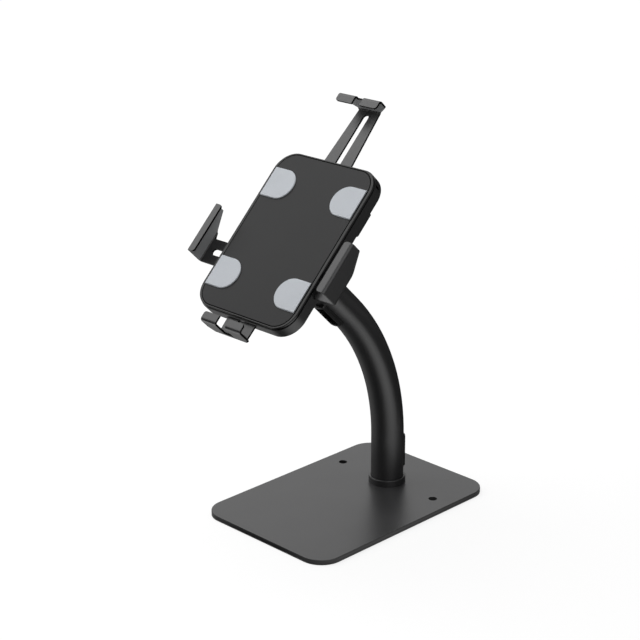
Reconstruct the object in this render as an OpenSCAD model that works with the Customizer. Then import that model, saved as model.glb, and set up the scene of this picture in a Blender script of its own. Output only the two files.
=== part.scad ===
// Tablet mount for a counter. A flat base plate carries a bent tube, and a tilting, turning
// head at its end holds a tablet between four sliding jaws.
// Millimetres, +Z up, the front faces -Y, and the origin is the centre of the base's underside.

/* [Base] */
// Width of the base plate, left to right
base_w = 180; // [160:1:240]
// Depth of the base plate, front to back
base_d = 260; // [230:1:320]
// Corner radius of the base plate
base_corner_r = 25; // [12:1:40]
// Thickness of the steel base plate
base_t = 4.5; // [4:0.5:8]
// Rounding of the base plate's top edge
base_edge_r = 0.6; // [0.3:0.1:1.2]
// Thickness of the anti-slip mat under the plate
mat_t = 1; // [0.5:0.1:2]
// How far the mat's edge stays inside the plate's edge
mat_inset = 4; // [2:0.5:8]
// Diameter of the two holes that fasten the plate to a counter
bench_hole_d = 9; // [5:0.5:10]
// Distance between the two counter holes
bench_hole_pitch = 135; // [100:1:140]

/* [Post] */
// Outer diameter of the bent tube
post_d = 35.7; // [34:0.1:38]
// Wall of the tube
post_wall = 2; // [1.5:0.1:3]
// Distance of the tube's foot behind the plate's centre
post_y = 62.1; // [30:0.1:90]
// Height over the counter at which the bend begins
post_straight = 59.6; // [59:0.1:80]
// Radius of the bend at the tube's centre line
bend_r = 228; // [200:1:260]
// Angle through which the tube bends forward
bend_angle = 45; // [40:0.5:50]
// Length of the straight stretch between the bend and the tube's upper end
post_end_l = 58.3; // [56:0.1:80]
// Outer diameter of the collar round the tube's foot
collar_d = 40.5; // [40:0.1:46]
// Height of the collar
collar_h = 7.2; // [4:0.1:12]
// Gap between the collar and the tube
collar_gap = 0.3; // [0.1:0.05:0.5]
// Height of the plug welded into the tube's foot
foot_plug_h = 11; // [9:0.5:12]
// Thread diameter of the screws that hold the foot plug
foot_screw_d = 5; // [4:0.5:6]
// Length of those screws
foot_screw_l = 14; // [10:0.5:15]
// Radius of the circle on which those screws stand
foot_screw_circle_r = 9.5; // [8:0.5:10]

/* [Cable ports] */
// Height of a port's frame
port_h = 38.5; // [34:0.5:39]
// Width of a port's frame
port_w = 19; // [17:0.5:20]
// Corner radius of a port's frame
port_corner_r = 3; // [2.6:0.1:4]
// Width of the frame's band above and below the opening
port_band_end = 3; // [2.5:0.1:4]
// Width of the frame's band at the sides of the opening
port_band_side = 2; // [1.6:0.1:2.2]
// How far the frame stands out from the tube
port_proud = 3.1; // [2:0.1:4]
// Width of the thin flange round the frame
port_flange_w = 1.3; // [0.8:0.1:1.4]
// Thickness of the thin flange
port_flange_t = 0.8; // [0.5:0.1:1.2]
// Height of the lower port's centre over the counter
port_low_z = 38.2; // [38:0.1:38.4]
// Distance of the upper port's centre from the end of the bend, along the tube
port_high_along = 21.8; // [21.5:0.1:22.5]

/* [Tilt joint] */
// Distance from the tube's end to the tilt axis
tongue_reach = 20; // [19:0.5:26]
// Thickness of the tongue on the tube's end plug
tongue_t = 20; // [16:0.5:20]
// Radius of the tongue's round end
tongue_r = 13; // [10:0.5:13]
// Thickness of the end plug's cap
cap_t = 3; // [2:0.5:4]
// Length of the end plug inside the tube
plug_l = 10; // [6:0.5:14]
// Thickness of the friction washers on both sides of the tongue
tilt_washer_t = 1.5; // [1:0.1:2]
// Thickness of a yoke ear
ear_t = 5; // [4:0.5:6]
// Radius of a yoke ear's round end
ear_r = 12; // [10:0.5:13]
// Distance from the yoke's flange to the tilt axis
ear_reach = 29; // [27:0.5:34]
// Thread diameter of the tilt bolt
tilt_bolt_d = 8; // [6:0.5:8]
// Angle of the head's face over the horizontal
head_tilt = 45; // [35:1:60]

/* [Swivel joint] */
// Diameter of the yoke's flange
flange_d = 64; // [60:1:70]
// Thickness of the yoke's flange
flange_t = 4; // [3:0.5:5]
// Thickness of the friction disc between flange and shell
disc_t = 1.2; // [0.8:0.1:2]
// Thread diameter of the pivot bolt
pivot_d = 10; // [8:0.5:10]
// Diameter of the pivot bolt's flat head
pivot_head_d = 24; // [20:1:26]
// Thickness of the pivot bolt's flat head
pivot_head_t = 2.5; // [2:0.1:3]
// Distance of the swivel axis below the head's centre
swivel_drop = 8.3; // [4:0.1:14]

/* [Head] */
// Width of the face plate
face_w = 127.2; // [124:0.1:134]
// Height of the face plate
face_h = 180.6; // [178:0.1:184]
// Corner radius of the face plate
face_r = 20; // [14:0.5:22]
// Thickness of the face plate
face_t = 1.2; // [0.8:0.1:1.6]
// Gap round the face plate
face_gap = 0.35; // [0.2:0.05:0.6]
// Width of the cover's rim at the sides
rim_side = 3.9; // [3:0.1:5]
// Width of the cover's rim at the top and the bottom
rim_end = 2; // [1.6:0.1:3]
// Thickness of the cover at its rim
cover_t = 2.4; // [2.2:0.1:3]
// Dark gap between the cover and the shell
parting_gap = 1; // [0.5:0.1:1.5]
// How far the shell stands past the cover at the top and the bottom
shell_over = 1.3; // [0:0.1:2]
// Depth of the head from its face to the shell's back
head_depth = 16.2; // [15.9:0.1:18]
// Wall of the shell at its sides
shell_wall = 1.8; // [1.2:0.1:2.2]
// Thickness of the shell's back
shell_back_t = 1.6; // [1.2:0.1:1.8]
// Rounding of the shell's back edge
shell_edge_r = 1.5; // [0.5:0.1:2.5]
// Width of the security slot in the shell's corner
security_slot_w = 3.2; // [3:0.1:3.6]
// Length of the security slot
security_slot_l = 7; // [6:0.1:7.6]
// Direction of the security slot seen from the corner's centre
security_slot_angle = 28; // [15:1:70]

/* [Pads] */
// Height of a rubber pad
pad_h = 34.3; // [28:0.1:38]
// Length of a rubber pad from its round end to its straight end
pad_l = 35.5; // [30:0.1:38]
// Thickness of a rubber pad
pad_t = 1.6; // [1:0.1:2.5]
// Width of the sloping edge of a pad
pad_bevel = 0.8; // [0.4:0.1:1.2]
// Distance of a pad's centre above or below the head's centre
pad_y = 54; // [44:0.5:58]
// Gap between a pad's straight end and the face plate's edge
pad_edge_gap = 0.4; // [0.2:0.1:2]

/* [Jaws] */
// Thickness of the bent sheet
sheet_t = 2.2; // [2:0.1:2.4]
// Outer radius of the sheet's bends
bend_out_r = 3.6; // [3:0.1:4.5]
// Distance of the arms' front behind the head's face
arm_depth = 8; // [7.9:0.05:8.2]
// Height of the lips' outer face over the head's face
lip_height = 14.5; // [12:0.5:20]
// Rounding of the lips' free corners
lip_corner_r = 3; // [1.5:0.1:4]
// Length of a lip from its free edge to the jaw's outer face
lip_l = 10.4; // [8:0.1:13]
// Width of the slots in the arms
slot_w = 7.3; // [7:0.1:8]
// Width of the top and the bottom jaw
end_jaw_w = 56; // [52:0.5:62]

/* [Top jaw] */
// Distance of the top jaw's outer face from the head's centre
top_reach = 163.2; // [160:0.1:167]
// Width of the top arm at its jaw
top_arm_w_out = 28; // [24:0.5:32]
// Width of the top arm where it enters the shell
top_arm_w_in = 38; // [36:0.5:42]
// Gap between the two top lips
top_lip_gap = 11; // [8:0.5:16]
// Height of the top jaw's full width below the head's face, negative above it
top_flare_z = -3; // [-5:0.1:0]
// Distance of the top slot's end from the jaw
top_slot_margin = 5.6; // [4:0.1:8]

/* [Bottom jaw] */
// Distance of the bottom jaw's outer face from the head's centre
bottom_reach = 112.3; // [110:0.1:117]
// Width of the bottom arm
bottom_arm_w = 39.2; // [36:0.1:42]
// Width of the cable notch in the bottom jaw
bottom_lip_gap = 14; // [10:0.5:18]
// Depth of the cable notch behind the head's face
bottom_notch_depth = 4; // [0:0.5:4]
// Distance of the bottom slot's end from the jaw
bottom_slot_margin = 6.1; // [4:0.1:8]

/* [Side jaws] */
// Distance of the left jaw's outer face from the head's centre
left_reach = 98.9; // [96:0.1:102]
// Distance of the right jaw's outer face from the head's centre
right_reach = 96.2; // [96:0.1:100]
// Length of a side arm from its inner end to the jaw's outer face
side_arm_l = 67.9; // [65:0.1:70]
// Width of a side arm
side_arm_w = 27.5; // [24:0.5:28]
// Distance of the side arms' lower edge below the head's centre
side_arm_drop = 47.2; // [46.5:0.1:48]
// Height of a side jaw
side_jaw_h = 56.2; // [50:0.1:62]
// Distance of a side slot's end from the jaw
side_slot_margin = 8.5; // [6:0.1:10]

/* [Guides] */
// Gap between a guide post's shoulder and its slot
guide_gap = 0.1; // [0.05:0.01:0.1]
// Diameter of the guide posts' feet and of the clamp screws' heads
guide_d = 11; // [10:0.5:12]
// Thickness of a clamp screw's head
clamp_head_t = 2.2; // [1.8:0.1:2.4]
// Thread diameter of the clamp screws
clamp_d = 4; // [3:0.5:4.5]
// Distance of the outer guide posts from the shell's top edge
top_guide_in = 9.6; // [9:0.1:14]
// Distance of the outer guide posts from the shell's side edges
side_guide_in = 7.6; // [7.5:0.1:9]
// Distance of the outer guide posts from the shell's bottom edge
bottom_guide_in = 8.6; // [8.5:0.1:10]
// Distance between the two guide posts of the top arm
top_guide_pitch = 22; // [14:0.5:26]
// Distance between the two guide posts of a side arm
side_guide_pitch = 15; // [13:0.5:16]
// Distance between the two guide posts of the bottom arm
bottom_guide_pitch = 12; // [12:0.5:13]

/* [Lock] */
// Side of the raised lock box on the shell's back
lock_box_w = 28; // [24:0.5:30]
// Height of the lock box over the shell's back
lock_box_h = 2.5; // [2:0.1:4]
// Distance of the lock to the right of the head's centre
lock_x = 52; // [50:0.5:53]
// Distance of the lock above the head's centre
lock_y = 42; // [36:0.5:48]
// Diameter of the lock's barrel
barrel_d = 15.8; // [14:0.1:17]
// Diameter of the turning plug in the barrel
lock_plug_d = 10; // [8:0.1:10.5]
// Distance from the plug's axis to the cam's tip
cam_r = 9.3; // [9:0.1:9.5]

/* [Hidden] */
$fn = 96;

coat_grey = [0.17, 0.17, 0.175];
coat_light = [0.24, 0.24, 0.245];
rubber_black = [0.06, 0.06, 0.06];
pad_grey = [0.72, 0.73, 0.74];
steel_grey = [0.55, 0.56, 0.58];

// Clearances: a shaft that turns or slides, a screw in its hole, and two flat faces that slide
run_gap = 0.05;
hole_gap = 0.1;
slide_gap = 0.05;
// What a cut reaches past the solid that it cuts
over = 1;

base_top = mat_t + base_t;
post_r = post_d/2;
bore_r = post_r - post_wall;
plug_r = bore_r - hole_gap;
collar_edge_r = 0.6;
foot_screw_count = 3;
foot_screw_head_r = foot_screw_d;
foot_screw_head_h = foot_screw_d/2;
screw_socket = 1.2;
// A hexagon socket's flats as a share of the screw's thread
socket_share = 0.6;
// How far the mat stays away from the counter holes and from the screws under the tube
mat_hole_gap = 3.6;
mat_screw_gap = 1.5;

// A port's opening and the neck round it that passes through the tube's wall
neck_t = 1.2;
neck_from = 0.72*bore_r;
open_w = port_w - 2*port_band_side;
open_h = port_h - 2*port_band_end;
open_r = 1.5;

// The centre of the bend and, past the tube's straight end, the tilt axis
bend_y = post_y - bend_r;
tilt_along = post_end_l + tongue_reach;
tilt_y = bend_y + bend_r*cos(bend_angle) - tilt_along*sin(bend_angle);
tilt_z = post_straight + bend_r*sin(bend_angle) + tilt_along*cos(bend_angle);

// The stack from the head's face back to the tilt axis
disc_back = head_depth + slide_gap + disc_t;
flange_back = disc_back + flange_t;
tilt_depth = flange_back + ear_reach;
ear_in = tongue_t/2 + 2*slide_gap + tilt_washer_t;
ear_out = ear_in + ear_t;
ear_foot = 1.4*ear_r;
ear_weld = 0.1;
tilt_head_d = 1.75*tilt_bolt_d;
tilt_head_t = 0.55*tilt_bolt_d;
tilt_socket_h = 0.35*tilt_bolt_d;
tilt_nut_flats = 1.625*tilt_bolt_d;
tilt_nut_t = tilt_bolt_d;
pivot_nut_t = 0.65*pivot_d;
pivot_nut_flats = 1.6*pivot_d;
pivot_washer_gap = 0.9;
pivot_washer_r = ear_in - pivot_washer_gap;
pivot_washer_t = 1.2;
disc_inset = 2;
// How far a bolt's tip stands out of its nut
bolt_tip = 1;
flat_to_corner = 1/cos(30);

// Outlines of the head
cover_w = face_w + 2*rim_side;
cover_h = face_h + 2*rim_end;
rim_corner = 3;
cover_r = face_r + rim_corner;
cover_edge_r = 0.7;
shell_w = cover_w;
shell_h = cover_h + 2*shell_over;
shell_corner_over = 1;
shell_r = cover_r + shell_corner_over;
shell_front = cover_t + parting_gap;
shell_in = head_depth - shell_back_t;
spigot_gap = 0.2;
spigot_t = 1.5;
spigot_reach = 1.8;
spigot_depth = shell_front + spigot_reach;
slit_gap = 0.5;

// The cover's screws stand near the shell's corners, clear of every arm
cover_screw_d = 3;
cover_boss_d = 8;
cover_screw_in_x = 15.5;
cover_screw_in_y = 15.6;
cover_screw_l = 9;

// Arms, slots and posts. The arms' back face and the lips' outer face bound every jaw
arm_back = -arm_depth - sheet_t;
guide_r = slot_w/2 - guide_gap;
top_guide_out = shell_h/2 - top_guide_in;
bottom_guide_out = shell_h/2 - bottom_guide_in;
side_guide_out = shell_w/2 - side_guide_in;
slot_play = 4.8;
top_slot_in = top_guide_out - top_guide_pitch - guide_r - slot_play;
bottom_slot_play = slot_play + 1.4;
bottom_slot_in = bottom_guide_out - bottom_guide_pitch - guide_r - bottom_slot_play;
side_slot_tail = 6;
end_slot_tail = 6.5;
side_arm_mid = side_arm_drop - side_arm_w/2;
top_taper_in = shell_h/2 - slot_play;
arm_play = 0.12;
// Where the gap between the top lips ends, where the jaws' walls widen, and how the bottom arm
// narrows and its wall's root spreads
top_notch_under = 1.5;
bottom_flare_z = 0.4;
bottom_arm_taper = 1;
bottom_root_spread = 3;
side_root_rise = 1.2;
side_slope_z = 1;
// The bottom of a guide post's thread and the gap under the clamp screw's tip
post_floor = 1;
clamp_tip_gap = 0.5;
clamp_socket_from = 0.4*clamp_head_t;

// The lock, the cam behind its barrel and the cover's catch behind the cam
lock_back = head_depth + lock_box_h;
barrel_flange_t = 1.2;
barrel_flange_w = 2;
catch_t = 1.3;
catch_gap = 0.3;
catch_reach = 5;
barrel_in = shell_in - catch_gap;
catch_back = barrel_in - catch_gap;
catch_w = 10;
catch_wall_t = 1.6;
catch_wall_x = shell_w/2 - shell_wall - spigot_gap - spigot_t - catch_wall_t;
cam_back = catch_back - catch_t - catch_gap;
cam_t = 1.5;
cam_w = 8;
cam_rim = 2;
lock_plug_proud = 0.2;
key_slot_t = 1.2;
key_slot_w = 0.6*lock_plug_d;
key_slot_h = 2;

// A rectangle with round corners
module rounded_rect(w, h, r) {
    square([w - 2*r, h], center = true);
    square([w, h - 2*r], center = true);
    for (x = [-1, 1], y = [-1, 1])
        translate([x*(w/2 - r), y*(h/2 - r)]) circle(r = r);
}

// The section of a plate whose two upper edges are rounded
module soft_section(w, t, edge) {
    translate([-w/2, 0]) square([w, t - edge]);
    translate([edge - w/2, 0]) square([w - 2*edge, t]);
    for (side = [-1, 1])
        translate([side*(w/2 - edge), t - edge]) circle(r = edge, $fn = 32);
}

// A plate with round corners and a rounded upper edge
module soft_plate(w, h, r, t, edge) {
    rotate([90, 0, 0]) linear_extrude(h - 2*r, center = true) soft_section(w, t, edge);
    rotate([90, 0, 90]) linear_extrude(w - 2*r, center = true) soft_section(h, t, edge);
    for (x = [-1, 1], y = [-1, 1])
        translate([x*(w/2 - r), y*(h/2 - r), 0])
            rotate_extrude() intersection() {
                soft_section(2*r, t, edge);
                square([r, t]);
            }
}

// A slot: two half circles joined by straight sides, along Y
module stadium(w, h) {
    square([w, h - w], center = true);
    for (end = [-1, 1]) translate([0, end*(h - w)/2]) circle(d = w);
}

// A countersunk screw, point up, its head's face at z = 0
module flat_screw(d, head_r, head_h, l) {
    difference() {
        union() {
            cylinder(h = head_h, r1 = head_r, r2 = d/2);
            cylinder(h = l, d = d);
        }
        translate([0, 0, -over])
            cylinder(h = over + screw_socket, d = socket_share*d*flat_to_corner, $fn = 6);
    }
}

// The hole for such a screw, cut from below
module flat_screw_hole(d, head_r, head_h, l) {
    translate([0, 0, -over]) cylinder(h = over, r = head_r + hole_gap);
    cylinder(h = head_h, r1 = head_r + hole_gap, r2 = d/2 + hole_gap);
    cylinder(h = l, r = d/2 + hole_gap);
}

// Places of the screws under the tube's foot
module at_foot_screws() {
    for (i = [0:foot_screw_count - 1])
        translate([0, post_y, mat_t]) rotate([0, 0, 360*i/foot_screw_count - 90])
            translate([foot_screw_circle_r, 0, 0]) children();
}

module at_bench_holes() {
    for (side = [-1, 1]) translate([side*bench_hole_pitch/2, post_y, 0]) children();
}

// A solid rod along the tube's centre line
module post_rod(r) {
    translate([0, bend_y, post_straight]) rotate([90, 0, 90]) {
        rotate([0, 0, bend_angle]) translate([bend_r, 0, 0]) rotate([-90, 0, 0])
            cylinder(h = post_end_l, r = r);
        rotate_extrude(angle = bend_angle) translate([bend_r, 0]) circle(r = r);
    }
    translate([0, post_y, base_top]) cylinder(h = post_straight - base_top, r = r);
}

// The end of the bend, with +Z along the tube and +Y away from the bend's centre
module at_bend_end() {
    translate([0, bend_y, post_straight]) rotate([bend_angle, 0, 0]) translate([0, bend_r, 0]) children();
}

module at_lower_port() { translate([0, post_y, port_low_z]) children(); }
module at_upper_port() { at_bend_end() translate([0, 0, port_high_along]) rotate([0, 0, 180]) children(); }

// A port's outline pushed along +Y, from one distance to another off the tube's axis
module port_prism(w, h, r, from, to) {
    translate([0, to, 0]) rotate([90, 0, 0]) linear_extrude(to - from) rounded_rect(w, h, r);
}

// The same outline as a shell of even thickness on the tube
module port_saddle(w, h, r, t) {
    intersection() {
        port_prism(w, h, r, neck_from, post_r + t + over);
        difference() {
            cylinder(h = h + 2*over, r = post_r + t, center = true);
            cylinder(h = h + 4*over, r = post_r + slide_gap, center = true);
        }
    }
}

module port_wall_cut() {
    grow = 2*neck_t + 2*hole_gap;
    port_prism(open_w + grow, open_h + grow, open_r + grow/2, 0, post_r + over);
}

// A whole port: raised frame, thin flange and a neck that lines the hole in the tube
module port() {
    difference() {
        union() {
            port_saddle(port_w, port_h, port_corner_r, port_proud);
            port_saddle(port_w + 2*port_flange_w, port_h + 2*port_flange_w, port_corner_r + port_flange_w,
                port_flange_t);
            port_prism(open_w + 2*neck_t, open_h + 2*neck_t, open_r + neck_t, neck_from,
                post_r + port_flange_t);
        }
        port_prism(open_w, open_h, open_r, 0, post_r + port_proud + over);
    }
}

// Frames in which the moving pieces are drawn: at the tube's end, on the tilt axis, and on the
// head's face with +Y up the face and +Z out of it
module at_tube_end() { at_bend_end() translate([0, 0, post_end_l]) children(); }
module on_yoke() { translate([0, tilt_y, tilt_z]) rotate([head_tilt, 0, 0]) children(); }
module on_head() { on_yoke() translate([0, swivel_drop, tilt_depth]) children(); }
module at_pivot() { on_head() translate([0, -swivel_drop, 0]) children(); }
module across(from, to) {
    translate([from, 0, 0]) rotate([90, 0, 90]) linear_extrude(to - from) children();
}

module at_cover_screws() {
    for (x = [-1, 1], y = [-1, 1])
        translate([x*(shell_w/2 - cover_screw_in_x), y*(shell_h/2 - cover_screw_in_y), -head_depth])
            children();
}

module at_guides() {
    for (i = [0, 1]) {
        translate([0, top_guide_out - i*top_guide_pitch, 0]) children();
        translate([0, i*bottom_guide_pitch - bottom_guide_out, 0]) children();
        for (side = [-1, 1])
            translate([side*(side_guide_out - i*side_guide_pitch), -side_arm_mid, 0]) children();
    }
}

// The section of a jaw: arm, wall and lip of one bent sheet, with the arm along X
module jaw_section(arm_in, reach) {
    translate([arm_in, arm_back]) square([reach - bend_out_r - arm_in, sheet_t]);
    translate([reach - sheet_t, arm_back + bend_out_r])
        square([sheet_t, lip_height - arm_back - 2*bend_out_r]);
    translate([reach - lip_l, lip_height - sheet_t]) square([lip_l - bend_out_r, sheet_t]);
    translate([reach - bend_out_r, arm_back + bend_out_r]) sheet_bend(-1);
    translate([reach - bend_out_r, lip_height - bend_out_r]) sheet_bend(1);
}

module sheet_bend(side) {
    intersection() {
        difference() {
            circle(r = bend_out_r);
            circle(r = bend_out_r - sheet_t);
        }
        translate([0, side > 0 ? 0 : -bend_out_r]) square(bend_out_r);
    }
}

// Places of a sheet in a jaw's own frame: +X out of the head, +Y across, +Z out of the face
module sheet_body(arm_in, reach, low, high) {
    translate([0, high, 0]) rotate([90, 0, 0]) linear_extrude(high - low) jaw_section(arm_in, reach);
}

// A jaw's lip seen from the front, with rounded free corners
module lip_outline(reach, low, high) {
    free = reach - lip_l;
    translate([free + lip_corner_r, low]) square([lip_l, high - low]);
    translate([free, low + lip_corner_r]) square([lip_l, high - low - 2*lip_corner_r]);
    for (y = [low + lip_corner_r, high - lip_corner_r])
        translate([free + lip_corner_r, y]) circle(r = lip_corner_r, $fn = 48);
}

module lip_keep(reach, low, high) {
    translate([0, 0, lip_height - sheet_t - over/2]) linear_extrude(sheet_t + over)
        lip_outline(reach, low, high);
}

module arm_keep() { translate([0, 0, arm_back - over/2]) linear_extrude(sheet_t + over) children(); }
module wall_keep(reach) { translate([reach - bend_out_r, 0, 0]) across(0, bend_out_r + over) children(); }

module slot_cut(from, to) {
    translate([(from + to)/2, 0, arm_back - over/2]) linear_extrude(sheet_t + over)
        rotate(90) stadium(slot_w, to - from);
}

// A top or bottom jaw along +X, with a gap between its two lips
module end_jaw(arm_in, reach, arm_w_in, arm_w_out, taper_in, root_w, flare_z, gap, notch_z, slot_in,
    margin) {
    half = end_jaw_w/2;
    wall_in = reach - sheet_t;
    difference() {
        intersection() {
            sheet_body(arm_in, reach, -half, half);
            union() {
                arm_keep() polygon([[arm_in - over, -arm_w_in/2], [taper_in, -arm_w_in/2],
                    [reach - bend_out_r, -arm_w_out/2], [reach - bend_out_r, arm_w_out/2],
                    [taper_in, arm_w_in/2], [arm_in - over, arm_w_in/2]]);
                wall_keep(reach) polygon([[-root_w/2, arm_back - over], [root_w/2, arm_back - over],
                    [root_w/2, arm_back + sheet_t/2], [half, -flare_z], [half, lip_height + over],
                    [-half, lip_height + over], [-half, -flare_z], [-root_w/2, arm_back + sheet_t/2]]);
                lip_keep(reach, -half, half);
            }
        }
        translate([reach - lip_l - over, -gap/2, -notch_z])
            cube([lip_l + 2*over, gap, lip_height + notch_z + over]);
        slot_cut(slot_in, wall_in - margin);
    }
}

// The right jaw along +X. Its wall rises past the arm, with a sloping back edge
module side_jaw(reach) {
    low = -side_arm_drop;
    arm_high = low + side_arm_w;
    root_high = arm_high + side_root_rise;
    high = low + side_jaw_h;
    arm_in = reach - side_arm_l;
    difference() {
        intersection() {
            sheet_body(arm_in, reach, low, high);
            union() {
                arm_keep() translate([arm_in - over, low])
                    square([side_arm_l - bend_out_r + over, side_arm_w]);
                wall_keep(reach) polygon([[low, arm_back - over], [root_high, arm_back - over],
                    [root_high, arm_back], [high, side_slope_z], [high, lip_height + over],
                    [low, lip_height + over]]);
                lip_keep(reach, low, high);
            }
        }
        translate([0, -side_arm_mid, 0])
            slot_cut(arm_in + side_slot_tail, reach - sheet_t - side_slot_margin);
    }
}

module base_plate() {
    color(coat_grey) difference() {
        translate([0, 0, mat_t]) soft_plate(base_w, base_d, base_corner_r, base_t, base_edge_r);
        at_bench_holes() cylinder(h = base_top + over, d = bench_hole_d);
        at_foot_screws() flat_screw_hole(foot_screw_d, foot_screw_head_r, foot_screw_head_h, base_t + over);
    }
}

module base_mat() {
    color(rubber_black) linear_extrude(mat_t) difference() {
        rounded_rect(base_w - 2*mat_inset, base_d - 2*mat_inset, base_corner_r - mat_inset);
        at_bench_holes() circle(r = bench_hole_d/2 + mat_hole_gap);
        translate([0, post_y]) circle(r = foot_screw_circle_r + foot_screw_head_r + mat_screw_gap);
    }
}

module foot_collar() {
    color(coat_light) translate([0, post_y, base_top]) difference() {
        union() {
            cylinder(h = collar_h - collar_edge_r, d = collar_d);
            cylinder(h = collar_h, d = collar_d - 2*collar_edge_r);
            translate([0, 0, collar_h - collar_edge_r]) rotate_extrude()
                translate([collar_d/2 - collar_edge_r, 0]) circle(r = collar_edge_r, $fn = 32);
        }
        translate([0, 0, -over]) cylinder(h = collar_h + 2*over, r = post_r + collar_gap);
    }
}

module foot_plug() {
    color(steel_grey) difference() {
        translate([0, post_y, base_top]) cylinder(h = foot_plug_h, r = bore_r - hole_gap);
        at_foot_screws() cylinder(h = foot_screw_l + over, r = foot_screw_d/2 + hole_gap);
    }
}

module base_screws() {
    color(steel_grey) at_foot_screws()
        flat_screw(foot_screw_d, foot_screw_head_r, foot_screw_head_h, foot_screw_l);
}

module post_tube() {
    color(coat_grey) difference() {
        post_rod(post_r);
        post_rod(bore_r);
        at_lower_port() port_wall_cut();
        at_upper_port() port_wall_cut();
    }
}

module lower_port() { color(rubber_black) at_lower_port() port(); }

module upper_port() { color(rubber_black) at_upper_port() port(); }

module end_plug() {
    color(coat_light) at_tube_end() difference() {
        union() {
            translate([0, 0, -plug_l]) cylinder(h = plug_l, r = plug_r);
            cylinder(h = cap_t, r = post_r);
            translate([-tongue_t/2, 0, 0]) across(0, tongue_t) {
                translate([-tongue_r, 0]) square([2*tongue_r, tongue_reach]);
                translate([0, tongue_reach]) circle(r = tongue_r);
            }
        }
        translate([0, 0, tongue_reach]) rotate([0, 90, 0])
            cylinder(h = tongue_t + 2*over, r = tilt_bolt_d/2 + run_gap, center = true);
    }
}

module tilt_yoke() {
    color(coat_grey) on_yoke() difference() {
        union() {
            translate([0, 0, ear_reach]) cylinder(h = flange_t, d = flange_d);
            for (side = [-1, 1]) {
                from = side > 0 ? ear_in : -ear_out;
                across(from, from + ear_t) {
                    circle(r = ear_r);
                    polygon([[-ear_r, 0], [ear_r, 0], [ear_foot, ear_reach + ear_weld],
                        [-ear_foot, ear_reach + ear_weld]]);
                }
            }
        }
        translate([0, 0, ear_reach - over]) cylinder(h = flange_t + 2*over, r = pivot_d/2 + run_gap);
        rotate([0, 90, 0]) cylinder(h = 2*ear_out + 2*over, r = tilt_bolt_d/2 + hole_gap, center = true);
    }
}

module tilt_bolt() {
    color(steel_grey) on_yoke() rotate([0, 90, 0]) difference() {
        union() {
            translate([0, 0, -ear_out]) cylinder(h = 2*ear_out + tilt_nut_t + bolt_tip, d = tilt_bolt_d);
            translate([0, 0, -ear_out - tilt_head_t]) cylinder(h = tilt_head_t, d = tilt_head_d);
        }
        translate([0, 0, -ear_out - tilt_head_t - over])
            cylinder(h = over + tilt_socket_h, d = socket_share*tilt_bolt_d*flat_to_corner, $fn = 6);
    }
}

module tilt_nut() {
    color(steel_grey) on_yoke() rotate([0, 90, 0]) translate([0, 0, ear_out]) difference() {
        cylinder(h = tilt_nut_t, d = tilt_nut_flats*flat_to_corner, $fn = 6);
        translate([0, 0, -over]) cylinder(h = tilt_nut_t + 2*over, r = tilt_bolt_d/2 + hole_gap);
    }
}

module tilt_washers() {
    color(rubber_black) on_yoke() for (side = [-1, 1])
        rotate([0, side*90, 0]) translate([0, 0, tongue_t/2 + slide_gap]) difference() {
            cylinder(h = tilt_washer_t, r = ear_r);
            translate([0, 0, -over]) cylinder(h = tilt_washer_t + 2*over, r = tilt_bolt_d/2 + hole_gap);
        }
}

module friction_disc() {
    color(rubber_black) at_pivot() translate([0, 0, -disc_back]) difference() {
        cylinder(h = disc_t, d = flange_d - 2*disc_inset);
        translate([0, 0, -over]) cylinder(h = disc_t + 2*over, r = pivot_d/2 + 2*hole_gap);
    }
}

module pivot_bolt() {
    color(steel_grey) at_pivot() {
        translate([0, 0, -shell_in]) cylinder(h = pivot_head_t, d = pivot_head_d);
        translate([0, 0, -flange_back - pivot_washer_t - pivot_nut_t - bolt_tip])
            cylinder(h = flange_back + pivot_washer_t + pivot_nut_t + bolt_tip - shell_in, d = pivot_d);
    }
}

module pivot_nut() {
    color(steel_grey) at_pivot() translate([0, 0, -flange_back - slide_gap]) mirror([0, 0, 1])
        difference() {
            union() {
                cylinder(h = pivot_washer_t, r = pivot_washer_r);
                cylinder(h = pivot_washer_t + pivot_nut_t, d = pivot_nut_flats*flat_to_corner, $fn = 6);
            }
            translate([0, 0, -over])
                cylinder(h = pivot_washer_t + pivot_nut_t + 2*over, r = pivot_d/2 + hole_gap);
        }
}

// The raised box on the shell's back, with a sloping lower end
module lock_box(grow, h) {
    w = lock_box_w + 2*grow;
    translate([lock_x - w/2, lock_y, -head_depth]) rotate([90, 0, 90]) linear_extrude(w)
        polygon([[-w/2, over], [-w/2, 0], [-w/2 + h, -h], [w/2, -h], [w/2, over]]);
}

module back_shell() {
    color(coat_grey) on_head() difference() {
        union() {
            translate([0, 0, -shell_front]) mirror([0, 0, 1])
                soft_plate(shell_w, shell_h, shell_r, head_depth - shell_front, shell_edge_r);
            lock_box(0, lock_box_h);
        }
        translate([0, 0, -shell_in]) linear_extrude(shell_in)
            rounded_rect(shell_w - 2*shell_wall, shell_h - 2*shell_wall, shell_r - shell_wall);
        translate([0, 0, shell_back_t]) lock_box(-shell_back_t, lock_box_h);
        arm_slit(top_arm_w_in, [0, shell_h/2, 0]);
        arm_slit(bottom_arm_w, [0, -shell_h/2, 0]);
        for (side = [-1, 1]) translate([side*shell_w/2, -side_arm_mid, 0]) rotate([0, 0, 90])
            arm_slit(side_arm_w, [0, 0, 0]);
        translate([0, -swivel_drop, -head_depth - over])
            cylinder(h = shell_back_t + 2*over, r = pivot_d/2 + hole_gap);
        at_cover_screws()
            flat_screw_hole(cover_screw_d, cover_screw_d, cover_screw_d/2, shell_back_t + over);
        translate([lock_x, lock_y, -lock_back - over])
            cylinder(h = lock_back - shell_in + 2*over, r = barrel_d/2 + hole_gap);
        security_slot();
    }
}

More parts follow.
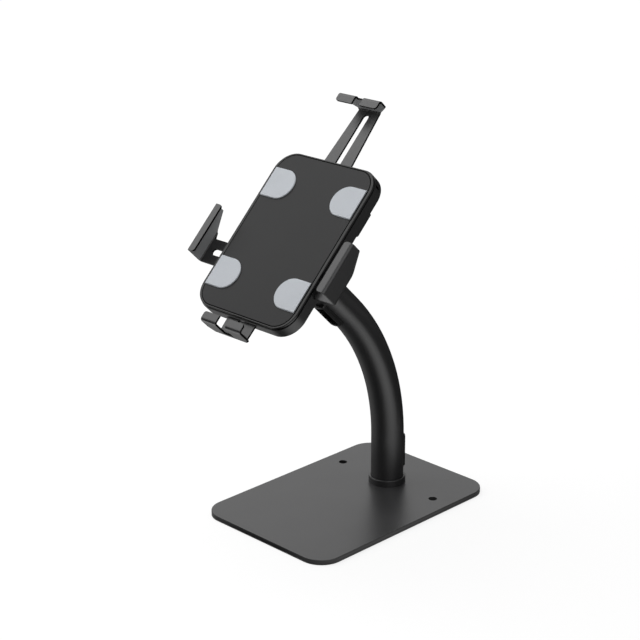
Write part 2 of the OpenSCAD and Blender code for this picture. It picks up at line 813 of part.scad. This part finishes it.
// The slit in the shell's wall through which an arm slides
module arm_slit(arm_w, place) {
    w = arm_w + 2*slit_gap;
    h = sheet_t + 2*slit_gap;
    translate(place + [-w/2, -shell_wall - over, arm_back - slit_gap])
        cube([w, 2*shell_wall + 2*over, h]);
}

module security_slot() {
    translate([shell_w/2 - shell_r, shell_h/2 - shell_r, -arm_depth]) rotate([0, 0, security_slot_angle])
        translate([shell_r - shell_wall - over, 0, 0]) across(0, shell_wall + 2*over)
            stadium(security_slot_w, security_slot_l);
}

module front_cover() {
    color(coat_light) on_head() difference() {
        union() {
            translate([0, 0, -cover_t]) soft_plate(cover_w, cover_h, cover_r, cover_t, cover_edge_r);
            translate([0, 0, -spigot_depth]) linear_extrude(spigot_depth - cover_t) difference() {
                cover_spigot(0);
                cover_spigot(spigot_t);
            }
            at_cover_screws() translate([0, 0, shell_back_t])
                cylinder(h = shell_in - cover_t, d = cover_boss_d);
            cover_catch();
        }
        translate([0, 0, -face_t]) linear_extrude(face_t + over)
            rounded_rect(face_w + 2*face_gap, face_h + 2*face_gap, face_r + face_gap);
        at_cover_screws() cylinder(h = cover_screw_l + over, r = cover_screw_d/2 + hole_gap);
    }
}

module cover_spigot(inset) {
    inner = 2*(shell_wall + spigot_gap + inset);
    rounded_rect(shell_w - inner, shell_h - inner, shell_r - inner/2);
}

// A hook that the lock's cam holds back
module cover_catch() {
    translate([catch_wall_x, lock_y - catch_w/2, -catch_back])
        cube([catch_wall_t, catch_w, catch_back - cover_t]);
    translate([catch_wall_x - catch_reach, lock_y - catch_w/2, -catch_back])
        cube([catch_reach + catch_wall_t, catch_w, catch_t]);
}

module face_plate() {
    color(coat_light) on_head() translate([0, 0, -face_t]) linear_extrude(face_t)
        rounded_rect(face_w, face_h, face_r);
}

// Four rubber pads, round towards the middle and straight at the face plate's edge
module face_pads() {
    straight_x = face_w/2 - pad_edge_gap;
    round_x = straight_x - pad_l + pad_h/2;
    color(pad_grey) on_head() for (x = [0, 1], y = [-1, 1])
        mirror([x, 0, 0]) translate([round_x, y*pad_y, 0]) {
            cylinder(h = pad_t - pad_bevel, d = pad_h);
            translate([0, 0, pad_t - pad_bevel])
                cylinder(h = pad_bevel, d1 = pad_h, d2 = pad_h - 2*pad_bevel);
            rotate([90, 0, 90]) linear_extrude(straight_x - round_x) polygon([
                [-pad_h/2, 0], [pad_h/2, 0], [pad_h/2, pad_t - pad_bevel],
                [pad_h/2 - pad_bevel, pad_t], [pad_bevel - pad_h/2, pad_t], [-pad_h/2, pad_t - pad_bevel]]);
        }
}

module top_jaw() {
    color(coat_light) on_head() rotate([0, 0, 90])
        end_jaw(top_slot_in - end_slot_tail, top_reach, top_arm_w_in, top_arm_w_out, top_taper_in,
            top_arm_w_out, top_flare_z, top_lip_gap, top_notch_under + bend_out_r - lip_height,
            top_slot_in, top_slot_margin);
}

module bottom_jaw() {
    color(coat_light) on_head() rotate([0, 0, -90])
        end_jaw(bottom_slot_in - side_slot_tail, bottom_reach, bottom_arm_w,
            bottom_arm_w - bottom_arm_taper, top_taper_in, bottom_arm_w + bottom_root_spread,
            -bottom_flare_z, bottom_lip_gap, bottom_notch_depth, bottom_slot_in, bottom_slot_margin);
}

module left_jaw() { color(coat_light) on_head() mirror([1, 0, 0]) side_jaw(left_reach); }

module right_jaw() { color(coat_light) on_head() side_jaw(right_reach); }

// Posts that stand on the shell's back and guide the arms by their slots
module guide_posts() {
    color(steel_grey) on_head() at_guides() difference() {
        union() {
            translate([0, 0, -shell_in]) cylinder(h = shell_in + arm_back - arm_play, d = guide_d);
            translate([0, 0, -shell_in]) cylinder(h = shell_in - arm_depth + 2*arm_play, r = guide_r);
        }
        translate([0, 0, -shell_in + post_floor]) cylinder(h = shell_in, r = clamp_d/2 + hole_gap);
    }
}

module clamp_screws() {
    color(steel_grey) on_head() at_guides() difference() {
        union() {
            translate([0, 0, 2*arm_play - arm_depth]) cylinder(h = clamp_head_t, d = guide_d);
            translate([0, 0, -shell_in + post_floor + clamp_tip_gap])
                cylinder(h = shell_in - arm_depth, d = clamp_d);
        }
        translate([0, 0, 2*arm_play - arm_depth + clamp_socket_from])
            cylinder(h = clamp_head_t, d = socket_share*clamp_d*flat_to_corner, $fn = 6);
    }
}

module lock_barrel() {
    color(steel_grey) on_head() translate([lock_x, lock_y, 0]) difference() {
        union() {
            translate([0, 0, -lock_back]) cylinder(h = lock_back - barrel_in, d = barrel_d);
            translate([0, 0, -lock_back - barrel_flange_t])
                cylinder(h = barrel_flange_t, d = barrel_d + 2*barrel_flange_w);
        }
        translate([0, 0, -lock_back - barrel_flange_t - over])
            cylinder(h = lock_back, r = lock_plug_d/2 + run_gap);
    }
}

module lock_plug() {
    from = -lock_back - barrel_flange_t - lock_plug_proud;
    color(steel_grey) on_head() translate([lock_x, lock_y, 0]) difference() {
        translate([0, 0, from]) cylinder(h = -cam_back + cam_t - from, d = lock_plug_d);
        translate([-key_slot_t/2, -key_slot_w/2, from - over])
            cube([key_slot_t, key_slot_w, over + key_slot_h]);
    }
}

// The cam points at the catch when the lock is closed
module lock_cam() {
    color(steel_grey) on_head() translate([lock_x, lock_y, -cam_back]) linear_extrude(cam_t) difference() {
        union() {
            circle(r = lock_plug_d/2 + cam_rim);
            translate([0, -cam_w/2]) square([cam_r, cam_w]);
        }
        circle(r = lock_plug_d/2 + hole_gap);
    }
}

module shell_screws() {
    color(steel_grey) on_head() at_cover_screws()
        flat_screw(cover_screw_d, cover_screw_d, cover_screw_d/2, cover_screw_l);
}

base_plate();
base_mat();
foot_collar();
foot_plug();
base_screws();
post_tube();
lower_port();
upper_port();
end_plug();
tilt_yoke();
tilt_bolt();
tilt_nut();
tilt_washers();
friction_disc();
pivot_bolt();
pivot_nut();
back_shell();
front_cover();
face_plate();
face_pads();
top_jaw();
bottom_jaw();
left_jaw();
right_jaw();
guide_posts();
clamp_screws();
lock_barrel();
lock_plug();
lock_cam();
shell_screws();
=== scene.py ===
from math import cos, pi, radians, sin

import bmesh
import bpy
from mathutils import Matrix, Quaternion, Vector


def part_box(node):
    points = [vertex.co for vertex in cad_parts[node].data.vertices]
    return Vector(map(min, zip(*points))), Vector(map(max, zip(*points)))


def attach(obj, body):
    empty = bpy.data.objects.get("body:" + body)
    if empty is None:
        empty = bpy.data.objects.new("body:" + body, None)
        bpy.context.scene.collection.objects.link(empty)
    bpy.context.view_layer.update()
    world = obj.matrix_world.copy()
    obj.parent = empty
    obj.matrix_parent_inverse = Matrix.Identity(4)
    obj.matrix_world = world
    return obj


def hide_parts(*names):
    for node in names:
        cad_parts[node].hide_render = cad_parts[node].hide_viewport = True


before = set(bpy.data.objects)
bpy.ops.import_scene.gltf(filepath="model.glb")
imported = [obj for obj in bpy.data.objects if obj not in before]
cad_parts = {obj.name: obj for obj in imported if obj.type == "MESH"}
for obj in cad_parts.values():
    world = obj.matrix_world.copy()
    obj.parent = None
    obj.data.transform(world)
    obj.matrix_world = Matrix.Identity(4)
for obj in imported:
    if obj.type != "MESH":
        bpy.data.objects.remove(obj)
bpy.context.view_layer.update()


# The camera stands to the front right of the stand and a little above it, with a long lens.
# Its angle, distance and lens come from the outlines of the base, the tube and the head.
lens_pixels = 1762.0
picture_pixels = 640.0
film_width = 36.0
farthest_seen = 60.0
camera_turn = radians(45.025)
camera_rise = radians(19.953)
camera_roll = radians(-0.075)
camera_place = Vector((1.1967, -1.2374, 0.8337))

lens = bpy.data.cameras.new("photo_camera")
lens.sensor_width = film_width
lens.lens = lens_pixels * film_width / picture_pixels
lens.clip_end = farthest_seen
camera = bpy.data.objects.new("photo_camera", lens)
bpy.context.scene.collection.objects.link(camera)
bpy.context.scene.camera = camera
looking = Vector((
    -sin(camera_turn) * cos(camera_rise),
    cos(camera_turn) * cos(camera_rise),
    -sin(camera_rise),
))
camera.location = camera_place
camera.rotation_mode = "QUATERNION"
camera.rotation_quaternion = looking.to_track_quat("-Z", "Y") @ Quaternion((0, 0, 1), camera_roll)


# Base plate: laser-cut steel, powder coated dark grey with a fine grain. It is a flat plate with
# round corners and a softly rounded upper edge, and has a counter hole on each side of the tube.
class Wire:
    """One socket of a finish, so that its maths reads as plain arithmetic."""

    def __init__(self, finish, socket):
        self.finish = finish
        self.socket = socket

    def maths(self, operation, first, second):
        return self.finish.node("ShaderNodeMath", {"operation": operation}, {0: first, 1: second})

    def __add__(self, other):
        return self.maths("ADD", self, other)

    def __radd__(self, other):
        return self.maths("ADD", other, self)

    def __sub__(self, other):
        return self.maths("SUBTRACT", self, other)

    def __rsub__(self, other):
        return self.maths("SUBTRACT", other, self)

    def __mul__(self, other):
        return self.maths("MULTIPLY", self, other)

    def __rmul__(self, other):
        return self.maths("MULTIPLY", other, self)


class Finish:
    """A material, or the room's light, put together node by node round one shader."""

    def __init__(self, block, shader="Principled BSDF"):
        self.block = block
        block.use_nodes = True
        self.tree = block.node_tree
        self.shader = self.tree.nodes[shader]

    def feed(self, socket, value):
        """Links a wire to a socket, or sets it to a value. A colour is three numbers."""
        if isinstance(value, Wire):
            self.tree.links.new(value.socket, socket)
        elif socket.type == "RGBA":
            socket.default_value = (*value, 1)
        else:
            socket.default_value = value

    def node(self, kind, settings, sockets, output=0):
        made = self.tree.nodes.new(kind)
        for name, value in settings.items():
            setattr(made, name, value)
        for name, value in sockets.items():
            self.feed(made.inputs[name], value)
        return Wire(self, made.outputs[output])

    def set(self, **sockets):
        for name, value in sockets.items():
            self.feed(self.shader.inputs[name.replace("_", " ")], value)

    def marked(self, name):
        """What a piece's own attribute says, from 0 to 1."""
        return self.node("ShaderNodeAttribute", {"attribute_name": name}, {}, "Fac")

    def blended(self, share, first, second):
        """The first colour where share is 0, and the second where it is 1."""
        share_in, first_in, second_in, colour_out = 0, 6, 7, 2
        sockets = {share_in: share, first_in: first, second_in: second}
        return self.node("ShaderNodeMix", {"data_type": "RGBA"}, sockets, colour_out)

    def scaled(self, colour, level):
        """The colour, darker where level is under 1 and lighter where it is over 1."""
        return self.node("ShaderNodeVectorMath", {"operation": "SCALE"}, {0: colour, "Scale": level})


speck_detail, speck_break = 3.0, 0.6
clouds_per_metre, cloud_detail, cloud_break = 22.0, 4.0, 0.55
# Edge rounds take a lighter colour, partly wear and partly a painted highlight, more where clouds are
# strong.
worn_and_highlight_least, worn_and_highlight_by_cloud = 0.45, 0.4
shade_least, shade_by_cloud, shade_by_speck = 0.84, 0.18, 0.14
rough_by_speck, rough_by_cloud, rough_on_average = 0.1, 0.08, 0.09
smooth_by_edge = 0.05


def grained(name, colour, worn_and_highlight, roughness, grain, depth, shine=0.5, metal=0.0,
            cut=None, dull_cut=False, painted_light_tone=None):
    """A coated, moulded or plated skin with a fine grain, faint clouds and smoother edges. The edges are
    lighter, partly from wear and partly as a painted highlight.

    A speck is about as wide as grain, and as high as depth. Cut faces take the colour cut, and with
    dull_cut they lose their shine, as a black metal has none. Faces marked on the inner side take a
    lighter colour, painted light that stands in for the light falling on them."""
    skin = Finish(bpy.data.materials.new(name))
    place = skin.node("ShaderNodeTexCoord", {}, {}, "Object")
    specks = skin.node("ShaderNodeTexNoise", {}, {
        "Vector": place, "Scale": 1 / grain, "Detail": speck_detail, "Roughness": speck_break})
    clouds = skin.node("ShaderNodeTexNoise", {}, {
        "Vector": place, "Scale": clouds_per_metre, "Detail": cloud_detail, "Roughness": cloud_break})
    edge = skin.marked("edge")
    # Painted highlight with some wear: the rounds of the edges take the lighter colour.
    tone = skin.blended(edge * (worn_and_highlight_least + worn_and_highlight_by_cloud * clouds), colour, worn_and_highlight)
    if cut:
        tone = skin.blended(skin.marked("cut"), tone, cut)
    if dull_cut:
        metal = skin.marked("cut")
    if painted_light_tone:
        tone = skin.blended(skin.marked("painted_light_side"), tone, painted_light_tone)
    shade = shade_least + shade_by_cloud * clouds + shade_by_speck * specks
    uneven = rough_by_speck * specks + rough_by_cloud * clouds - rough_on_average
    skin.set(
        Base_Color=skin.scaled(tone, shade),
        Metallic=metal,
        Roughness=roughness + uneven - smooth_by_edge * edge,
        Specular_IOR_Level=shine,
        Normal=skin.node("ShaderNodeBump", {}, {"Strength": 1.0, "Distance": depth, "Height": specks}),
    )
    return skin.block


def grey(level):
    return (level, level, level)


weld_within = 2e-6
flat_within = radians(0.4)
hard_bend = radians(32)
crisp_bend = radians(40)
rim_bend = radians(60)
same_way = 0.98
half_cut = 0.5


def eased(node, body, finish, radius, steps=3, sheet=0.0, inner=None, corner=half_cut, bend=hard_bend):
    """Stands in for a CAD node with the same shape, its sharp edges eased by a small round.

    Faces that are narrower than sheet between their sharp sides are marked as cut, and the rounds
    as far as corner says. The other faces that look along inner are marked for painted light, a
    lighter colour that stands in for the light on them."""
    shape = bmesh.new()
    shape.from_mesh(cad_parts[node].data)
    bmesh.ops.remove_doubles(shape, verts=shape.verts, dist=weld_within)
    bmesh.ops.dissolve_limit(
        shape, angle_limit=flat_within, verts=shape.verts, edges=shape.edges, use_dissolve_boundaries=False)
    edge, cut, painted_light_side = (shape.faces.layers.float.new(name) for name in ("edge", "cut", "painted_light_side"))
    if sheet:
        for face in shape.faces:
            rim = sum(e.calc_length() for e in face.edges if e.calc_face_angle(0.0) > rim_bend)
            face[cut] = float(rim > 0 and 2 * face.calc_area() / rim < sheet)
            if inner and not face[cut]:
                face[painted_light_side] = float(face.normal.dot(Vector(inner)) > same_way)
    sharp_edges = [e for e in shape.edges if e.calc_face_angle(0.0) > bend]
    rounds = bmesh.ops.bevel(
        shape, geom=sharp_edges, offset=radius, offset_type="OFFSET", segments=steps, profile=0.5,
        affect="EDGES", material=-1, clamp_overlap=True)["faces"]
    for face in rounds:
        face[edge] = 1.0
        face[cut] = corner if sheet else 0.0
    for face in shape.faces:
        face.smooth = True
    mesh = bpy.data.meshes.new(node + "_eased")
    shape.to_mesh(mesh)
    shape.free()
    mesh.set_sharp_from_angle(angle=crisp_bend)
    mesh.materials.append(finish)
    piece = bpy.data.objects.new(mesh.name, mesh)
    bpy.context.scene.collection.objects.link(piece)
    even = piece.modifiers.new("even shading", "WEIGHTED_NORMAL")
    even.keep_sharp = True
    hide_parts(node)
    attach(piece, body)
    return piece


# The coat's lighter edge colour is partly wear and partly a painted highlight.
coat_look = {
    "colour": (0.028, 0.028, 0.029), "worn_and_highlight": (0.11, 0.11, 0.112), "cut": grey(0.006),
    "roughness": 0.34, "grain": 0.0007, "depth": 0.00002, "shine": 0.65,
}
coat = grained("powder_coat", **coat_look)
base_sheet, base_ease = 0.0065, 0.0008
base = eased("base_plate", "stand", coat, base_ease, sheet=base_sheet)


# Tube and collar: a steel tube, bent forward on a large radius. A turned ring round its foot
# hides the joint with the plate, and both are powder coated like the plate.
tube_ease = 0.0003
for node in ("post_tube", "foot_collar"):
    eased(node, "stand", coat, tube_ease, steps=2)


# Foot plug and base screws: a turned steel plug is welded into the tube's foot, and three
# countersunk screws from under the plate go into it. All of them are zinc plated.
def dressed(node, finish):
    """Gives a CAD node a finish and keeps its shape."""
    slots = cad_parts[node].data.materials
    slots.clear()
    slots.append(finish)


zinc = grained("zinc", (0.42, 0.42, 0.43), (0.55, 0.55, 0.56), roughness=0.36, grain=0.0012,
               depth=0.00001, metal=1.0)
for node in ("foot_plug", "base_screws"):
    dressed(node, zinc)


# Anti-slip mat: a thin sheet of black rubber, glued under the plate and a little smaller than it.
# It is cut out round the counter holes and round the heads of the base screws.
rubber = grained("black_rubber", grey(0.018), grey(0.03), roughness=0.75, grain=0.0011, depth=0.00006)
dressed("base_mat", rubber)


# Cable ports: moulded black frames that straddle the tube, with a neck pressed through its wall.
# One is behind the foot, the other on the underside of the tube's straight upper end.
moulded = grained("black_plastic", grey(0.012), grey(0.09), roughness=0.32, grain=0.0009, depth=0.00001)
port_ease = 0.0006
for node in ("lower_port", "upper_port"):
    eased(node, "stand", moulded, port_ease)


# Tilt joint: the tongue of the tube's end plug sits between the ears of the yoke, both of powder
# coated steel, with a rubber washer on each side. A zinc-plated bolt and nut clamp them, so that
# the head stays at the angle it is tilted to.
joint_ease = 0.0006
eased("end_plug", "stand", coat, joint_ease)
eased("tilt_yoke", "yoke", coat, joint_ease)
dressed("tilt_washers", rubber)
fixing_ease = 0.0002
for node in ("tilt_bolt", "tilt_nut"):
    eased(node, "yoke", zinc, fixing_ease, steps=2)


# Swivel joint: a moulded disc lies between the yoke's flange and the back of the head. A bolt with
# a flanged nut, both zinc plated, holds the head on the yoke and lets it turn.
dressed("friction_disc", moulded)
for node in ("pivot_bolt", "pivot_nut"):
    eased(node, "head", zinc, fixing_ease, steps=2)


# Back shell and guide posts: a deep moulded tray with round corners, in a black that is darker and
# finer than the coat. Eight turned posts of zinc-plated steel stand on its back wall, and guide
# the slotted arms of the jaws.
head_colour = (0.014, 0.014, 0.0145)
shell_black = grained("head_black", head_colour, (0.05, 0.05, 0.052), roughness=0.4, grain=0.0008,
                      depth=0.00002)
shell_ease = 0.0004
eased("back_shell", "head", shell_black, shell_ease)
dressed("guide_posts", zinc)


# Jaws and clamp screws: 2.2 mm sheet steel, cut, bent and powder coated, with dull black cut edges.
# Their inner sides take painted light: a light grey that stands in for the light those walls catch.
# Each jaw has a slotted arm, an upright wall and a lip that folds over the tablet's edge, and two
# flat-headed screws of zinc-plated steel clamp its arm on the posts.
jaw_sheet, jaw_ease = 0.0024, 0.00025
# Painted light: faces on the inner side of each jaw take a light grey in place of the light on them.
jaw_coat = grained("jaw_coat", **coat_look, painted_light_tone=(0.53, 0.54, 0.55), dull_cut=True)
head_tilt = radians(45)
up_face = (0, cos(head_tilt), sin(head_tilt))
down_face = (0, -cos(head_tilt), -sin(head_tilt))
for node, body, inner in (
    ("top_jaw", "upper_slide", down_face), ("bottom_jaw", "lower_slide", up_face),
    ("left_jaw", "left_slide", (1, 0, 0)), ("right_jaw", "right_slide", (-1, 0, 0)),
):
    jaw = eased(node, body, jaw_coat, jaw_ease, steps=2, sheet=jaw_sheet, inner=inner)
eased("clamp_screws", "head", zinc, fixing_ease, steps=2)


# Lock: a cam lock of zinc-plated steel in the raised box on the shell's back. The plug turns in its
# barrel, and the cam on the plug's inner end catches the front cover.
for node, body in (("lock_barrel", "head"), ("lock_plug", "lock"), ("lock_cam", "lock")):
    eased(node, body, zinc, fixing_ease, steps=2)


# Front cover: a moulded black frame with a smooth, glossier edge, set on the shell with a dark gap
# between them. Four countersunk screws of zinc-plated steel hold it from behind.
cover_black = grained("bead_black", grey(0.01), grey(0.012), roughness=0.22, grain=0.0008,
                      depth=0.00001, shine=0.33)
cover_ease = 0.0005
eased("front_cover", "head", cover_black, cover_ease)
eased("shell_screws", "head", zinc, fixing_ease, steps=2)


# Face plate: a flat black sheet glued into the front cover, with a narrow gap all round. Its face
# is matt. Its edge and rounds are dull and painted darker still, a painted shade for the gap round it.
face_black = grained("face_black", head_colour, (0.016, 0.016, 0.0165), roughness=0.42, grain=0.0008,
                     depth=0.00002, shine=0.22, cut=grey(0.003), dull_cut=True)
face_sheet, face_ease = 0.0015, 0.00055
face_plate = eased("face_plate", "head", face_black, face_ease, steps=2, sheet=face_sheet, corner=1.0)


# Pads: four light grey silicone pads, moulded with a bevelled edge and glued to the face plate.
# The back of the tablet rests on them.
silicone = grained("pad_rubber", (0.53, 0.556, 0.59), (0.6, 0.62, 0.65), roughness=0.62, grain=0.0009,
                   depth=0.00004, shine=0.3)
pad_ease = 0.0002
pad_bend = radians(50)
pads = eased("face_pads", "head", silicone, pad_ease, steps=2, bend=pad_bend)


# Floor: a wide sheet of plain white paper, which keeps the stand's shadow. For reflected rays it
# glows in a painted reflection: coated and plated metal sees a bright band to the left and right of
# the stand, and dark in front and behind.
def ramp(value, start, end, low, high):
    """Goes smoothly from low to high while the value goes from start to end."""
    return value.finish.node("ShaderNodeMapRange", {"interpolation_type": "SMOOTHSTEP"}, {
        "Value": value, "From Min": start, "From Max": end, "To Min": low, "To Max": high})


def size_of(value):
    return value.maths("ABSOLUTE", value, 0.0)


def past(value, limit):
    """How far a value is past a limit, and zero before it."""
    return value.maths("MAXIMUM", value - limit, 0.0)


def rays(finish, kind):
    return finish.node("ShaderNodeLightPath", {}, {}, kind)


floor_reach = 14.0
floor_shape = bmesh.new()
bmesh.ops.create_grid(floor_shape, x_segments=1, y_segments=1, size=floor_reach)
floor_mesh = bpy.data.meshes.new("floor")
floor_shape.to_mesh(floor_mesh)
floor_shape.free()
floor = bpy.data.objects.new("floor", floor_mesh)
bpy.context.scene.collection.objects.link(floor)

paper = Finish(bpy.data.materials.new("white_paper"))
seen = rays(paper, "Is Camera Ray")
mirrored = rays(paper, "Is Glossy Ray")
spot = paper.node("ShaderNodeTexCoord", {}, {}, "Object")
away = paper.node("ShaderNodeVectorMath", {"operation": "LENGTH"}, {0: spot}, "Value")
along = paper.node("ShaderNodeSeparateXYZ", {}, {0: spot}, "X")
across = paper.node("ShaderNodeSeparateXYZ", {}, {0: spot}, "Y")

# What the camera sees: white all round, and a little less near the stand, where the soft boxes add
# more light of their own. Under the base plate the paper has no glow: a painted shadow, which shows
# as a dark line under the plate's edge.
white_near, white_far = 0.755, 0.91
white_inner, white_outer = 0.5, 2.9
base_half = Vector(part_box("base_plate")[1][:2])
base_corner = 0.025
past_side = past(size_of(along), base_half.x - base_corner)
past_end = past(size_of(across), base_half.y - base_corner)
past_base = past_side * past_side + past_end * past_end
beyond_plate_shadow = past_base.maths("GREATER_THAN", past_base, base_corner ** 2)
white = seen * beyond_plate_shadow * ramp(away, white_inner, white_outer, white_near, white_far)

# What metal reflects is painted glow: a band from left to right, with a dark middle under the stand
# and a painted shadow beside the plate. It fades far away. The paper round it is dark, and less so
# far to the right.
band_left, band_right = 2.15, 1.75
band_middle, band_inner, band_outer = -0.14, 0.12, 0.4
gap_inner, gap_outer = 0.02, 0.22
shade_middle = (-0.27, 0.08, 0)
shade_inner, shade_outer, shade_level = 0.12, 0.42, 0.15
band_near, band_far, band_rest = 0.9, 2.0, 0.1
beside = paper.node("ShaderNodeVectorMath", {"operation": "DISTANCE"}, {0: spot, 1: shade_middle}, "Value")
band = (
    ramp(along, -gap_inner, gap_inner, band_left, band_right)
    * ramp(size_of(across - band_middle), band_inner, band_outer, 1.0, 0.0)
    * ramp(size_of(along), gap_inner, gap_outer, 0.0, 1.0)
    * ramp(beside, shade_inner, shade_outer, shade_level, 1.0)
    * ramp(away, band_near, band_far, 1.0, band_rest)
)
round_band, round_band_right = 0.03, 0.3
right_inner, right_outer = 0.42, 0.8
reflected = ramp(along, right_inner, right_outer, round_band, round_band_right) + band

paper_white = grey(0.3)
paper_rough = 0.9
paper.set(
    Base_Color=paper.scaled(paper_white, 1 - mirrored),
    Roughness=paper_rough,
    Specular_IOR_Level=0.0,
    Emission_Strength=1.0,
    Emission_Color=paper.scaled(grey(1), white + mirrored * reflected),
)
floor_mesh.materials.append(paper.block)


# Studio light: a broad soft box to the upper left, a second one overhead, and a dim white room. In
# reflections the room is dark, but for a bright patch behind the stand and one to its right.
def soft_box(name, place, aim, size, level):
    lamp = bpy.data.lights.new(name, "AREA")
    lamp.shape = "RECTANGLE"
    lamp.size, lamp.size_y = size, size
    lamp.energy = level * pi * size * size
    box = bpy.data.objects.new(name, lamp)
    box.location = place
    box.rotation_mode = "QUATERNION"
    box.rotation_quaternion = (Vector(aim) - Vector(place)).to_track_quat("-Z", "Y")
    bpy.context.scene.collection.objects.link(box)


soft_box("upper_left", place=(-1.13, -0.67, 1.45), aim=(0, -0.09, 0.3), size=1.7, level=1.9)
soft_box("overhead", place=(-0.2, 0.1, 2.4), aim=(0, 0, 0.2), size=2.2, level=1.8)

room_level = 0.28
room_dark = 0.05
back_patch, back_bright = (-0.66, 0.49, 0.57), 1.0
side_patch, side_bright = (0.74, -0.3, 0.6), 1.3
patch_edge, patch_core = 0.78, 0.98
room = Finish(bpy.data.worlds.new("room"), "Background")
room_seen = rays(room, "Is Camera Ray")
room_mirrored = rays(room, "Is Glossy Ray")
toward = room.node("ShaderNodeTexCoord", {}, {}, "Generated")
sheen = room_dark
for patch, bright in ((back_patch, back_bright), (side_patch, side_bright)):
    facing = room.node("ShaderNodeVectorMath", {"operation": "DOT_PRODUCT"}, {0: toward, 1: patch}, "Value")
    sheen = sheen + ramp(facing, patch_edge, patch_core, 0.0, bright)
room.set(
    Color=grey(1),
    Strength=room_level + room_seen * (1 - room_level) + room_mirrored * (sheen - room_level),
)
bpy.context.scene.world = room.block
bpy.context.scene.view_settings.view_transform = "Standard"
